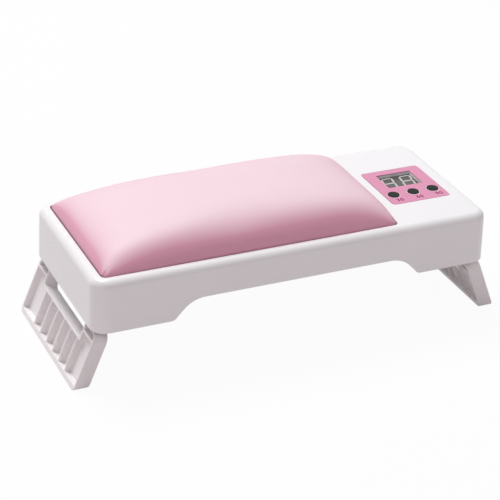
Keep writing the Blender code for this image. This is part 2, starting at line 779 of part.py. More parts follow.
def leg_pockets(side):
    """Outlines, in Y and Z, of the pockets in the outer face (-1) or the inner face (1)."""
    half_width = leg_width / 2
    wall = half_width - leg_end_wall
    notch_wall = knuckle_inner + leg_end_wall
    low = -leg_foot(side) + leg_foot_wall
    high = -leg_notch_drop - leg_end_wall
    ear_high = -leg_shoulder_drop - leg_divider
    first = leg_rib_shift - leg_rib_pitch * (leg_rib_count - 1) / 2
    ribs = [first + leg_rib_pitch * k for k in range(leg_rib_count)]
    pockets = []
    for k in range(leg_rib_count - 1):
        left, right = ribs[k] + leg_rib / 2, ribs[k + 1] - leg_rib / 2
        pockets.append([(left, low), (right, low), (right, high), (left, high)])
    for end, rib in ((-1, ribs[0]), (1, ribs[-1])):
        inner = rib + end * leg_rib / 2
        ear = [(inner, low), (end * wall, low), (end * wall, ear_high), (end * notch_wall, ear_high),
               (end * notch_wall, high), (inner, high)]
        pockets.append(ear)
        shoulder = leg_shoulder_radius - leg_end_wall
        top = [(end * notch_wall, -leg_shoulder_drop, 0), (end * wall, -leg_shoulder_drop, 0),
               (end * wall, -leg_shoulder_drop + shoulder, shoulder),
               (end * (knuckle_outer - leg_end_wall), -leg_shoulder_drop + shoulder, 0),
               (end * (knuckle_outer - leg_end_wall), -leg_ear_pocket_drop, 0),
               (end * notch_wall, -leg_ear_pocket_drop, 0)]
        pockets.append(outline(top))
    return pockets


def leg_mesh():
    """One leg in its own frame, as a solid that both legs share."""
    mesh = prism_mesh("leg", [leg_side_outline()], -leg_width / 2, leg_width / 2, ALONG_Y)
    shape = bmesh.new()
    shape.from_mesh(mesh)
    foot_line = -leg_foot(1) + 1e-6
    ends = [edge for edge in shape.edges if all(vert.co.z < foot_line for vert in edge.verts)
            and abs(edge.verts[0].co.y - edge.verts[1].co.y) < 1e-6]
    bmesh.ops.bevel(shape, geom=ends, offset=leg_foot_radius, segments=3, profile=0.5, affect="EDGES")
    shape.to_mesh(mesh)
    shape.free()
    blank = mesh_object("leg_blank", mesh, cutters)

    top = 2 * leg_half_thickness
    notch = [(-knuckle_inner, top, 0), (-knuckle_inner, -leg_notch_drop, leg_notch_radius),
             (knuckle_inner, -leg_notch_drop, leg_notch_radius), (knuckle_inner, top, 0)]
    cut(blank, cutter("leg_notch", [outline(notch)], -leg_thickness, leg_thickness, ALONG_X))
    for end, name in ((-1, "front"), (1, "back")):
        beyond = end * leg_width
        centre = (end * knuckle_outer, -leg_shoulder_drop)
        arc = []
        for k in range(7):
            turn = math.pi / 2 * k / 6
            arc.append((centre[0] + end * leg_shoulder_radius * math.sin(turn),
                        centre[1] + leg_shoulder_radius * math.cos(turn)))
        points = [(end * knuckle_outer, top), *arc, (beyond, -leg_shoulder_drop), (beyond, top)]
        cut(blank, cutter("leg_shoulder_" + name, [points], -leg_thickness, leg_thickness, ALONG_X))
    depth = (leg_thickness - leg_web) / 2
    for side, name in ((-1, "outer"), (1, "inner")):
        near, far = side * (leg_half_thickness - depth), side * leg_thickness
        cut(blank, cutter("leg_pockets_" + name, leg_pockets(side), min(near, far), max(near, far), ALONG_X))
    bore = circle(hinge_pin_radius + slide_gap, 0, 0, 12)
    cut(blank, cutter("leg_bore", [bore], -leg_width, leg_width, ALONG_Y))
    graph = bpy.context.evaluated_depsgraph_get()
    return bpy.data.meshes.new_from_object(blank.evaluated_get(graph))


def make_legs():
    shared = leg_mesh()
    shared.name = "leg"
    for name, side in (("left_leg", -1), ("right_leg", 1)):
        axis = bpy.data.objects.new(name + "_hinge_axis", None)
        parts.objects.link(axis)
        axis.location = (side * leg_axis_x, 0, leg_axis_z)
        axis.rotation_euler = (0, 0, math.pi if side > 0 else 0)
        leg = mesh_object(name, shared.copy(), parts, leg_plastic)
        leg.parent = axis
        leg.rotation_euler = (0, leg_splay, 0)


def make_hinges():
    """For each ear of each leg, a bracket under the tray and the pin that the ear turns on."""
    gap = slide_gap
    base_top = tray_low - seat_gap
    base_low = base_top - hinge_base
    inner_cheek = knuckle_inner - gap - hinge_cheek
    outer_cheek = knuckle_outer + gap + hinge_cheek
    for side, side_name in ((-1, "left"), (1, "right")):
        x = side * leg_axis_x
        half = leg_half_thickness
        cheek = [(x + half, base_top), (x - half, base_top)]
        cheek += [(x - half * math.cos(math.pi * k / 8), leg_axis_z - half * math.sin(math.pi * k / 8))
                  for k in range(9)]
        for end, end_name in ((-1, "front"), (1, "back")):
            name = f"{side_name}_{end_name}"
            low, high = sorted((end * inner_cheek, end * outer_cheek))
            bracket = prism("hinge_bracket_" + name, [cheek], low, high, parts, leg_plastic, ALONG_Y)
            room = [(x - leg_thickness, case_low - leg_thickness), (x + leg_thickness, case_low - leg_thickness),
                    (x + leg_thickness, base_low), (x - leg_thickness, base_low)]
            gap_low, gap_high = sorted((end * (knuckle_inner - gap), end * (knuckle_outer + gap)))
            cut(bracket, cutter("hinge_room_" + name, [room], gap_low, gap_high, ALONG_Y))
            bore = circle(hinge_pin_radius + gap, x, leg_axis_z, 12)
            cut(bracket, cutter("hinge_bore_" + name, [bore], low - case_wall, high + case_wall, ALONG_Y))
            pegs = [circle(hinge_peg_radius, px, py, 12) for px, py in hinge_peg_places(side) if py * end > 0]
            join(bracket, cutter("hinge_pegs_" + name, pegs, base_low + hinge_base / 2, tray_top))
            pin = circle(hinge_pin_radius, x, leg_axis_z, 12)
            prism("hinge_pin_" + name, [pin], low, high, parts, steel, ALONG_Y)


make_upper_case()
make_cushion_board()
make_cushion()
make_panel_overlay()
make_display()
make_buttons()
make_control_board()
make_tact_switches()
make_dc_jack()
make_lamp_tray()
make_lamps()
make_lead()
make_legs()
make_hinges()
make_screws()
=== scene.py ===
"""Looks of the padded manicure hand rest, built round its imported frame.

Metres, +Z up. The front is -Y and the table is Z = 0, as in the frame.
"""

import math

import bmesh
import bpy
from mathutils import Matrix, Vector


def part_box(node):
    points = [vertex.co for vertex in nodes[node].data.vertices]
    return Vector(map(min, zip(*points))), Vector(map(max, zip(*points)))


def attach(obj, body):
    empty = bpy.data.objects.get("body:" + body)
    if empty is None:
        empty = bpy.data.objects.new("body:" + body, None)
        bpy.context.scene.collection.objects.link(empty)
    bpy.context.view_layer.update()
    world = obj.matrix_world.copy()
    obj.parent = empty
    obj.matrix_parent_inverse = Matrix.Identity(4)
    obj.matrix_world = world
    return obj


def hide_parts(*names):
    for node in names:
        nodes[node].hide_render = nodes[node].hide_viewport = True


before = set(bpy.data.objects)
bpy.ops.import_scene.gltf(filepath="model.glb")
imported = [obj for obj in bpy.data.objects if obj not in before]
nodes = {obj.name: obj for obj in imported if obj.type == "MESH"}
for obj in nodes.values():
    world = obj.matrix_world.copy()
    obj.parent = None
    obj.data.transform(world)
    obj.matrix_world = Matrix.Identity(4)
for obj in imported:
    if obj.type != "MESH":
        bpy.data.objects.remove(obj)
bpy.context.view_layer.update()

# Camera
# It stands where the photograph was taken from: in front and to the left, looking down on the rest with a
# long lens. Its place is an angle round the rest, a distance, and small shifts that give the framing.
view_azimuth = math.radians(-25.182)
view_elevation = math.radians(28.560)
view_roll = math.radians(2.323)
view_distance = 1.356758
view_aim = Vector((0, 0, 0.0688))
view_shift_right = -0.010071
view_shift_up = -0.013783
view_lens = 123.41
view_sensor = 36
view_near = 0.05
view_far = 20


def linked(name, data):
    """A new object that holds the data, in the scene."""
    made = bpy.data.objects.new(name, data)
    bpy.context.scene.collection.objects.link(made)
    return made


view_back = Vector((math.sin(view_azimuth) * math.cos(view_elevation),
                    -math.cos(view_azimuth) * math.cos(view_elevation), math.sin(view_elevation)))
level_right = Vector((math.cos(view_azimuth), math.sin(view_azimuth), 0))
level_up = view_back.cross(level_right)
view_right = math.cos(view_roll) * level_right + math.sin(view_roll) * level_up
view_up = math.cos(view_roll) * level_up - math.sin(view_roll) * level_right
camera = linked("camera", bpy.data.cameras.new("camera"))
camera.data.lens = view_lens
camera.data.sensor_width = view_sensor
camera.data.clip_start = view_near
camera.data.clip_end = view_far
camera.location = view_aim + view_back * view_distance + view_right * view_shift_right + view_up * view_shift_up
camera.rotation_mode = "QUATERNION"
camera.rotation_quaternion = Matrix((view_right, view_up, view_back)).transposed().to_quaternion()
bpy.context.scene.camera = camera
bpy.context.scene.view_settings.view_transform = "Standard"

# Case
# One white moulding of glossy plastic, with drafted walls, a round top edge, an arch for the hand and a
# recess for the cushion. The mould leaves every edge that shows slightly round.
case_edge = 0.0004
edge_steps = 3
weld_reach = 0.00025
flat_angle = math.radians(0.5)
sharp_angle = math.radians(38)
flat_face_weight = 80
level_reach = 1e-5
wall_reach = 0.0015
white_colour = (0.84, 0.825, 0.835)
white_roughness = 0.30
white_grain_size = 0.0007
white_grain_depth = 0.000015
cloud_scale = 18.0
cloud_shade = 0.965
cloud_contrast = 1.6
cloud_offset = 0.3
gloss_scale = 55.0
gloss_spread = 0.10


class Wire:
    """A node's output that Python arithmetic works on: each operator adds one Math node."""

    def __init__(self, owner, socket):
        self.owner = owner
        self.socket = socket

    def maths(self, operation, first, second):
        return self.owner.node("ShaderNodeMath", {0: first, 1: second}, operation=operation)

    def __add__(self, other):
        return self.maths("ADD", self, other)

    def __sub__(self, other):
        return self.maths("SUBTRACT", self, other)

    def __rsub__(self, other):
        return self.maths("SUBTRACT", other, self)

    def __mul__(self, other):
        return self.maths("MULTIPLY", self, other)

    def __pow__(self, other):
        return self.maths("POWER", self, other)

    def __gt__(self, other):
        return self.maths("GREATER_THAN", self, other)

    __radd__ = __add__
    __rmul__ = __mul__


class Tree:
    """A node tree that takes nodes by type, with their settings first and then values or wires."""

    def __init__(self, tree):
        self.tree = tree

    def join(self, value, socket):
        if isinstance(value, Wire):
            self.tree.links.new(value.socket, socket)
        elif isinstance(value, tuple) and socket.type == "RGBA":
            socket.default_value = (*value, 1.0)
        else:
            socket.default_value = value

    def node(self, kind, inputs=None, output=0, **settings):
        made = self.tree.nodes.new(kind)
        for setting, value in settings.items():
            setattr(made, setting, value)
        for key, value in (inputs or {}).items():
            self.join(value, made.inputs[key])
        return Wire(self, made.outputs[output])


class Finish(Tree):
    """One surface finish: a Principled shader, with constants on its sockets and wires where it varies."""

    def __init__(self, name, constants):
        self.material = bpy.data.materials.new(name)
        self.material.use_nodes = True
        super().__init__(self.material.node_tree)
        self.shader = self.tree.nodes["Principled BSDF"]
        self.place = self.node("ShaderNodeTexCoord", output="Object")
        self.feed(constants)

    def feed(self, sockets):
        for name, value in sockets.items():
            self.join(value, self.shader.inputs[name])

    def noise(self, scale, detail=2.0, roughness=0.5, place=None):
        return self.node("ShaderNodeTexNoise", {"Vector": place or self.place, "Scale": scale, "Detail": detail,
                                                "Roughness": roughness})

    def blend(self, low, high, share):
        """A colour between two colours."""
        return self.node("ShaderNodeMix", {0: share, 6: low, 7: high}, output=2, data_type="RGBA")

    def bump(self, height, distance, strength=1.0):
        return self.node("ShaderNodeBump", {"Height": height, "Distance": distance, "Strength": strength})


def moulded_plastic(name, colour, roughness, grain_size, grain_depth):
    """Injection-moulded plastic: faint clouding of the colour, uneven gloss and the mould's fine grain."""
    finish = Finish(name, {"Metallic": 0.0, "IOR": 1.5})
    cloud = finish.noise(cloud_scale, 3.0)
    shade = tuple(channel * cloud_shade for channel in colour)
    finish.feed({
        "Base Color": finish.blend(shade, colour, cloud * cloud_contrast - cloud_offset),
        "Roughness": finish.noise(gloss_scale, 4.0, 0.6) * gloss_spread + (roughness - gloss_spread / 2),
        "Normal": finish.bump(finish.noise(1 / grain_size, 2.0), grain_depth),
    })
    return finish.material


def plain_mesh(name, guide):
    """Turns an object and its live modifiers into a new plain object, and removes the guide."""
    graph = bpy.context.evaluated_depsgraph_get()
    mesh = bpy.data.meshes.new_from_object(guide.evaluated_get(graph), preserve_all_data_layers=True,
                                           depsgraph=graph)
    bpy.data.objects.remove(guide, do_unlink=True)
    return linked(name, mesh)


def mesh_of(name, shape):
    """A mesh with the shape of a bmesh, which is freed."""
    mesh = bpy.data.meshes.new(name)
    shape.to_mesh(mesh)
    shape.free()
    return mesh


def even_shading(name, piece, keep_angle):
    """Lets the large flat faces set the shading, so that only the rounded edges turn the light."""
    piece.data.shade_smooth()
    piece.data.set_sharp_from_angle(angle=keep_angle)
    even = piece.modifiers.new("even shading", "WEIGHTED_NORMAL")
    even.keep_sharp = True
    even.weight = flat_face_weight
    return plain_mesh(name, piece)


def eased_copy(name, node, radius, picked):
    """A welded copy of a CAD node whose picked outer edges are rounded as the mould leaves them."""
    shape = bmesh.new()
    shape.from_mesh(nodes[node].data)
    bmesh.ops.remove_doubles(shape, verts=shape.verts, dist=weld_reach)
    bmesh.ops.dissolve_limit(shape, angle_limit=flat_angle, verts=shape.verts, edges=shape.edges)
    weight = shape.edges.layers.float.new("bevel_weight_edge")
    for edge in shape.edges:
        if edge.calc_face_angle_signed(0) > sharp_angle and picked(edge):
            edge[weight] = 1.0
    guide = linked(name + "_guide", mesh_of(name, shape))
    ease = guide.modifiers.new("eased edges", "BEVEL")
    ease.limit_method = "WEIGHT"
    ease.width = radius
    ease.segments = edge_steps
    ease.use_clamp_overlap = False
    ease.loop_slide = False
    return even_shading(name, plain_mesh(name, guide), sharp_angle)


def dress(piece, material, body, slot, *replaced):
    """Gives a finished piece its material and its body, and hides the CAD nodes that it stands for. The slot is
    not used.
    """
    piece.data.materials.clear()
    piece.data.materials.append(material)
    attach(piece, body)
    if replaced:
        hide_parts(*replaced)
    return piece


case_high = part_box("upper_case")[1]
case_top = case_high.z


def case_edge_shows(edge):
    """Edges of the top face and of the walls' lower rim, but not those of posts and bosses inside."""
    on_top = all(vert.co.z > case_top - level_reach for vert in edge.verts)
    walls = [max(abs(vert.co.x) - case_high.x, abs(vert.co.y) - case_high.y) for vert in edge.verts]
    return on_top or min(walls) > -wall_reach


white_plastic = moulded_plastic("white_plastic", white_colour, white_roughness, white_grain_size,
                                white_grain_depth)
case_shell = eased_copy("case_shell", "upper_case", case_edge, case_edge_shows)
dress(case_shell, white_plastic, "case", "white_plastic", "upper_case")

# Lamp tray
# The flat white floor of the case, with the lamps' opening and the holes that the hinge brackets' pegs are
# staked through. Six cross-head screws of zinc-plated steel hold it up against the bosses.
tray_edge = 0.0003
tray_edge_shortest = 0.0025
screw_names = tuple(f"case_screw_{number}" for number in range(1, 7))
screw_shank_radius = 0.0013
screw_head_height = 0.0017
screw_face_share = 0.62
screw_round_share = 0.86
screw_round_rise = 0.14
screw_side_rise = 0.5
screw_steps = 32
screw_recess_length = 0.0034
screw_recess_width = 0.0007
screw_recess_depth = 0.0010
screw_turn_spread = math.pi / 2
screw_seed = 7
closing_weld = 2e-6
steel_dull = (0.48, 0.49, 0.50)
steel_bright = (0.66, 0.66, 0.67)
steel_roughness = 0.22
steel_roughness_spread = 0.20
steel_spot_scale = 600.0
steel_gloss_scale = 900.0
steel_grain_scale = 2500.0
steel_grain_depth = 0.00001


class Recipe(Tree):
    """A geometry tree whose named inputs are set once, and whose result becomes a plain mesh."""

    def __init__(self, name):
        super().__init__(bpy.data.node_groups.new(name, "GeometryNodeTree"))
        self.tree.interface.new_socket("Geometry", in_out="OUTPUT", socket_type="NodeSocketGeometry")
        self.entry = self.tree.nodes.new("NodeGroupInput")
        self.values = {}

    def given(self, name, kind, value=None):
        socket = self.tree.interface.new_socket(name, in_out="INPUT", socket_type="NodeSocket" + kind)
        if value is not None:
            self.values[socket.identifier] = value
        return Wire(self, self.entry.outputs[name])

    def made(self, name, places, geometry, material):
        real = self.node("GeometryNodeRealizeInstances", {0: geometry})
        painted = self.node("GeometryNodeSetMaterial", {0: real, "Material": material})
        self.tree.links.new(painted.socket, self.tree.nodes.new("NodeGroupOutput").inputs[0])
        mesh = bpy.data.meshes.new(name)
        mesh.from_pydata([tuple(place) for place in places], [], [])
        guide = linked(name + "_guide", mesh)
        step = guide.modifiers.new("recipe", "NODES")
        step.node_group = self.tree
        for identifier, value in self.values.items():
            step[identifier] = value
        return plain_mesh(name, guide)


def repeated(name, unit, places, material, turn_spread, seed):
    """One plain mesh of a unit piece at each place, turned about Z by its own part of the spread."""
    recipe = Recipe(name)
    points = recipe.given("Places", "Geometry")
    shape = recipe.node("GeometryNodeObjectInfo", {"Object": recipe.given("Unit", "Object", unit)},
                        output="Geometry")
    turn = recipe.node("FunctionNodeRandomValue", {2: 0.0, 3: recipe.given("Turn Spread", "Float", turn_spread),
                                                   "Seed": recipe.given("Seed", "Int", seed)}, output=1)
    about = recipe.node("FunctionNodeEulerToRotation", {0: recipe.node("ShaderNodeCombineXYZ", {"Z": turn})})
    placed = recipe.node("GeometryNodeInstanceOnPoints", {"Points": points, "Instance": shape,
                                                          "Rotation": about})
    piece = recipe.made(name, places, placed, material)
    bpy.data.objects.remove(unit, do_unlink=True)
    piece.data.shade_smooth()
    piece.data.set_sharp_from_angle(angle=sharp_angle)
    return piece


def closed_up(piece, shift=(0, 0, 0)):
    """Welds a closed piece, puts it in its place and turns its faces outwards."""
    shape = bmesh.new()
    shape.from_mesh(piece.data)
    bmesh.ops.remove_doubles(shape, verts=shape.verts, dist=closing_weld)
    bmesh.ops.translate(shape, verts=shape.verts, vec=shift)
    bmesh.ops.recalc_face_normals(shape, faces=shape.faces)
    shape.to_mesh(piece.data)
    shape.free()
    piece.data.shade_smooth()
    piece.data.set_sharp_from_angle(angle=sharp_angle)
    return piece


def turned(name, profile, x, y, steps):
    """A closed profile of (radius, height) points, from one end of the axis to the other, turned about Z."""
    mesh = bpy.data.meshes.new(name)
    mesh.from_pydata([(radius, 0, height) for radius, height in profile],
                     [(k, k + 1) for k in range(len(profile) - 1)], [])
    guide = linked(name + "_guide", mesh)
    turn = guide.modifiers.new("turn", "SCREW")
    turn.steps = turn.render_steps = steps
    turn.use_merge_vertices = True
    turn.merge_threshold = closing_weld
    return closed_up(plain_mesh(name, guide), (x, y, 0))


def screw_unit(head_radius, length):
    """A pan-head screw that points up, with its head's face at the origin and a cross cut into it."""
    height = screw_head_height
    shank = screw_shank_radius
    profile = [(0, 0), (head_radius * screw_face_share, 0),
               (head_radius * screw_round_share, height * screw_round_rise),
               (head_radius, height * screw_side_rise), (head_radius, height), (shank, height),
               (shank, length - shank), (0, length)]
    unit = turned("screw_unit", profile, 0, 0, screw_steps)
    cross = bmesh.new()
    for turn in (0, math.pi / 2):
        size = Matrix.Diagonal((screw_recess_length, screw_recess_width, 2 * screw_recess_depth, 1))
        bmesh.ops.create_cube(cross, size=1, matrix=Matrix.Rotation(turn, 4, "Z") @ size)
    cutter = linked("screw_cross", mesh_of("screw_cross", cross))
    cut = unit.modifiers.new("cross", "BOOLEAN")
    cut.object = cutter
    cut.operation = "DIFFERENCE"
    cut.solver = "EXACT"
    cut.use_self = True
    unit = closed_up(plain_mesh("screw_unit", unit))
    bpy.data.objects.remove(cutter, do_unlink=True)
    return unit


def plated_steel():
    """Zinc-plated steel: a cool metal with a fine uneven gloss."""
    finish = Finish("plated_steel", {"Metallic": 1.0})
    finish.feed({
        "Base Color": finish.blend(steel_dull, steel_bright, finish.noise(steel_spot_scale, 3.0)),
        "Roughness": finish.noise(steel_gloss_scale, 3.0) * steel_roughness_spread + steel_roughness,
        "Normal": finish.bump(finish.noise(steel_grain_scale, 2.0), steel_grain_depth),
    })
    return finish.material


def box_middle(node):
    """The middle of a CAD node's box."""
    low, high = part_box(node)
    return (low + high) / 2


tray = eased_copy("tray_plate", "lamp_tray", tray_edge, lambda edge: edge.calc_length() > tray_edge_shortest)
dress(tray, white_plastic, "case", "white_plastic", "lamp_tray")
steel = plated_steel()
screw_low, screw_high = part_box(screw_names[0])
screw_places = [Vector((box_middle(name).x, box_middle(name).y, screw_low.z)) for name in screw_names]
screws = repeated("case_screws", screw_unit((screw_high.x - screw_low.x) / 2, screw_high.z - screw_low.z),
                  screw_places, steel, screw_turn_spread, screw_seed)
dress(screws, steel, "case", "steel", *screw_names)

# Legs
# Two like mouldings in satin white, ribbed on both faces and cut away in the middle for the fingers. They
# turn on steel pins in four brackets under the tray, and every edge of them is soft.
leg_voxel = 0.0004
bracket_voxel = 0.0003
loose_weld = 1e-6
soften_share = 0.5
soften_rounds = 3
leg_flat_angle = math.radians(1.5)
leg_splay = math.radians(22)
leg_keep_angle = math.radians(60)
leg_colour = (0.835, 0.80, 0.805)
leg_roughness = 0.42
leg_grain_size = 0.0005
leg_grain_depth = 0.00002


def softened_copy(name, node, voxel, turn):
    """A copy of a CAD node with all its edges rounded by about a voxel, worked while square to the axes."""
    shape = bmesh.new()
    shape.from_mesh(nodes[node].data)
    bmesh.ops.remove_doubles(shape, verts=shape.verts, dist=loose_weld)
    mesh = mesh_of(name, shape)
    mesh.transform(turn)
    guide = linked(name + "_guide", mesh)
    remesh = guide.modifiers.new("voxels", "REMESH")
    remesh.mode = "VOXEL"
    remesh.voxel_size = voxel
    soften = guide.modifiers.new("soft edges", "SMOOTH")
    soften.factor = soften_share
    soften.iterations = soften_rounds
    flats = guide.modifiers.new("flats", "DECIMATE")
    flats.decimate_type = "DISSOLVE"
    flats.angle_limit = leg_flat_angle
    piece = plain_mesh(name, guide)
    piece.data.transform(turn.inverted())
    return even_shading(name, piece, leg_keep_angle)


leg_plastic = moulded_plastic("leg_plastic", leg_colour, leg_roughness, leg_grain_size, leg_grain_depth)
leg_axis = box_middle("hinge_pin_left_front") * Vector((1, 0, 1))
upright = Matrix.Translation(leg_axis) @ Matrix.Rotation(-leg_splay, 4, "Y") @ Matrix.Translation(-leg_axis)
left_moulding = softened_copy("left_leg_moulding", "left_leg", leg_voxel, upright)
right_moulding = left_moulding.copy()
right_moulding.name = "right_leg_moulding"
right_moulding.data = left_moulding.data.copy()
right_moulding.data.transform(Matrix.Rotation(math.pi, 4, "Z"))
bpy.context.scene.collection.objects.link(right_moulding)
dress(left_moulding, leg_plastic, "left_leg", "leg_plastic", "left_leg")
dress(right_moulding, leg_plastic, "right_leg", "leg_plastic", "right_leg")
for side in ("left", "right"):
    for end in ("front", "back"):
        bracket = softened_copy(f"{side}_{end}_bracket", f"hinge_bracket_{side}_{end}", bracket_voxel, Matrix())
        dress(bracket, leg_plastic, "case", "leg_plastic", f"hinge_bracket_{side}_{end}")

# Cushion
# Pink leatherette drawn tight over moulded foam on a board, which is screwed down into the recess. It
# has no seam: the skin is tucked under the board, with a small pleat at each corner.
rim_height = 0.0030
crown_height = 0.0212
peak_shift = 0.161
rim_squareness = 30
rim_fullness = 0.5
length_squareness = 3.445
length_fullness = 0.56
width_squareness = 6
width_fullness = 1.08
corner_radius = 0.0045
tuck_depth = 0.0001
tuck_height = 0.0022
pleat_length = 0.011
pleat_width = 0.0011
pleat_depth = 0.0003
pleat_lean = 0.8
pleat_reach = 3
pleat_foot = 0.25
pleat_fade = 0.7
held_share = 0.8
cloth_quality = 5
air_pressure = 4.0
air_frames = 20
air_reach = 0.0012
tension_rounds = 40
tension_share = 0.5
start_shrink = 0.985
# Painted light and shade: the paler colour stands for the cushion's lit top, the deeper one for its shaded
# sides.
leather_painted_lit = (0.80, 0.60, 0.665)
leather_painted_shade = (0.70, 0.33, 0.435)
leather_roughness = 0.50
leather_gloss_scale = 70.0
leather_gloss_spread = 0.06
leather_cloud_scale = 26.0
leather_cloud_spread = 0.16
leather_sheen = 0.25
leather_sheen_roughness = 0.45
leather_sheen_tint = (1.0, 0.88, 0.92)
painted_shade_facing = 0.67
pebble_scale = 1150.0
pebble_warp_scale = 900.0
pebble_warp = 0.15
pebble_foot = 0.05
pebble_crown = 0.38
pebble_gloss = 0.07
pebble_depth = 0.00006
pebble_strength = 0.7
cushion_low, cushion_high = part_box("cushion")
cushion_mid = (cushion_low + cushion_high) / 2
cushion_half = (cushion_high - cushion_low) / 2
cushion_columns = 110
cushion_rows = 80
cushion_crowding = 1.8


def cushion_height(u, v):
    """How high the cushion stands over the case's top, for u and v from -1 to 1 over the recess."""
    rim_u = (1 - min(abs(u), 1) ** rim_squareness) ** rim_fullness
    rim_v = (1 - min(abs(v), 1) ** rim_squareness) ** rim_fullness
    run = 1 + peak_shift if u < peak_shift else 1 - peak_shift
    along = min(abs(u - peak_shift) / run, 1)
    crown_u = (1 - along ** length_squareness) ** length_fullness
    crown_v = (1 - min(abs(v), 1) ** width_squareness) ** width_fullness
    return rim_height * (rim_u * rim_v) + crown_height * start_shrink * (crown_u * crown_v)


def crowded(steps):
    """Places from -1 to 1 that crowd together towards both ends."""
    spread = [2 * k / steps - 1 for k in range(steps + 1)]
    return [math.copysign(1 - (1 - abs(t)) ** cushion_crowding, t) for t in spread]


def round_corner(x, y, half_x, half_y):
    """Moves a point of a rectangle's grid in at the corners, so that the rim is round there."""
    over_x = (abs(x) - half_x + corner_radius) / corner_radius
    over_y = (abs(y) - half_y + corner_radius) / corner_radius
    if over_x <= 0 or over_y <= 0:
        return x, y
    turn = math.atan2(over_y, over_x)
    reach = max(over_x, over_y) * corner_radius
    new_x = half_x - corner_radius + reach * math.cos(turn)
    new_y = half_y - corner_radius + reach * math.sin(turn)
    return math.copysign(new_x, x), math.copysign(new_y, y)


def cushion_skin():
    """The leatherette's top: crowned over the foam, with its rim drawn in at its foot."""
    shape = bmesh.new()
    grid = []
    for u in crowded(cushion_columns):
        line = []
        for v in crowded(cushion_rows):
            x, y = round_corner(u * cushion_half.x, v * cushion_half.y, cushion_half.x, cushion_half.y)
            height = cushion_height(u, v)
            tuck = tuck_depth * max(0.0, 1 - height / tuck_height) ** 2
            x *= 1 - tuck / cushion_half.x
            y *= 1 - tuck / cushion_half.y
            line.append(shape.verts.new((cushion_mid.x + x, cushion_mid.y + y, case_top + height)))
        grid.append(line)
    for i in range(cushion_columns):
        for j in range(cushion_rows):
            shape.faces.new((grid[i][j], grid[i + 1][j], grid[i + 1][j + 1], grid[i][j + 1]))
    return mesh_of("cushion_cover", shape)


def closed_below(piece):
    """Takes the rim straight down to the board and closes the skin with a flat underside."""
    shape = bmesh.new()
    shape.from_mesh(piece.data)
    rim = [edge for edge in shape.edges if edge.is_boundary]
    made = bmesh.ops.extrude_edge_only(shape, edges=rim)["geom"]
    for vert in (item for item in made if isinstance(item, bmesh.types.BMVert)):
        vert.co.z = cushion_low.z
    foot = [item for item in made if isinstance(item, bmesh.types.BMEdge) and item.is_boundary]
    bmesh.ops.contextual_create(shape, geom=foot)
    bmesh.ops.recalc_face_normals(shape, faces=shape.faces)
    shape.to_mesh(piece.data)
    shape.free()


def air_filled(name, guide):
    """The skin after its foam has pushed it out, as cloth held at the rim. No point moves far."""
    start = [vert.co.copy() for vert in guide.data.vertices]
    held = guide.vertex_groups.new(name="held")
    held_height = case_top + rim_height * held_share
    held.add([k for k, point in enumerate(start) if point.z < held_height], 1.0, "REPLACE")
    cloth = guide.modifiers.new("air", "CLOTH")
    cloth.settings.quality = cloth_quality
    cloth.settings.use_pressure = True
    cloth.settings.uniform_pressure_force = air_pressure
    cloth.settings.effector_weights.gravity = 0
    cloth.settings.vertex_group_mass = "held"
    cloth.point_cache.frame_start = 1
    cloth.point_cache.frame_end = air_frames
    even = guide.modifiers.new("even tension", "CORRECTIVE_SMOOTH")
    even.factor = tension_share
    even.iterations = tension_rounds
    even.use_pin_boundary = True
    for step in range(1, air_frames + 1):
        bpy.context.scene.frame_set(step)
    piece = plain_mesh(name, guide)
    bpy.context.scene.frame_set(1)
    for vert, point in zip(piece.data.vertices, start):
        move = vert.co - point
        if move.length > air_reach:
            vert.co = point + move.normalized() * air_reach
    return piece


def pleat(point, normal):
    """Presses the small fold that runs up from each corner into the skin."""
    for end_x in (-1, 1):
        for end_y in (-1, 1):
            corner = Vector((cushion_mid.x + end_x * cushion_half.x, cushion_mid.y + end_y * cushion_half.y, 0))
            inward = Vector((-end_x, -end_y * pleat_lean, 0)).normalized()
            away = Vector((point.x, point.y, 0)) - corner
            along = away.dot(inward)
            across = (away - inward * along).length
            if 0 < along < pleat_length and across < pleat_reach * pleat_width:
                fade = math.sin(math.pi * min(along / pleat_length + pleat_foot, 1)) ** pleat_fade
                return point - normal * pleat_depth * fade * math.exp(-((across / pleat_width) ** 2))
    return point


def leatherette():
    """Leatherette with painted light and shade, paler where it faces up and deeper where it turns down to the
    rim, with a fine pebble grain and a soft sheen.
    """
    finish = Finish("pink_leatherette", {"IOR": 1.45, "Sheen Weight": leather_sheen,
                                         "Sheen Roughness": leather_sheen_roughness,
                                         "Sheen Tint": leather_sheen_tint})
    facing = finish.node("ShaderNodeSeparateXYZ", {0: finish.node("ShaderNodeTexCoord", output="Normal")},
                         output="Z")
    # Painted light and shade: the colour goes from the deeper one where the skin faces the sides to the paler
    # one where it faces up.
    painted_light_share = finish.node("ShaderNodeMapRange", {"Value": facing, "From Min": painted_shade_facing, "From Max": 1.0})
    cloud = finish.noise(leather_cloud_scale, 3.0) * leather_cloud_spread - leather_cloud_spread / 2
    warp = finish.noise(pebble_warp_scale, 2.0) * pebble_warp
    cells = finish.node("ShaderNodeTexVoronoi", {"Vector": finish.place, "Scale": pebble_scale},
                        output="Distance", feature="DISTANCE_TO_EDGE")
    pebble = finish.node("ShaderNodeMapRange", {"Value": cells + warp, "From Min": pebble_foot,
                                                "From Max": pebble_crown})
    gloss = finish.noise(leather_gloss_scale, 3.0) * leather_gloss_spread
    finish.feed({
        "Base Color": finish.blend(leather_painted_shade, leather_painted_lit, painted_light_share + cloud),
        "Roughness": leather_roughness - pebble * pebble_gloss + gloss,
        "Normal": finish.bump(pebble, pebble_depth, pebble_strength),
    })
    return finish.material


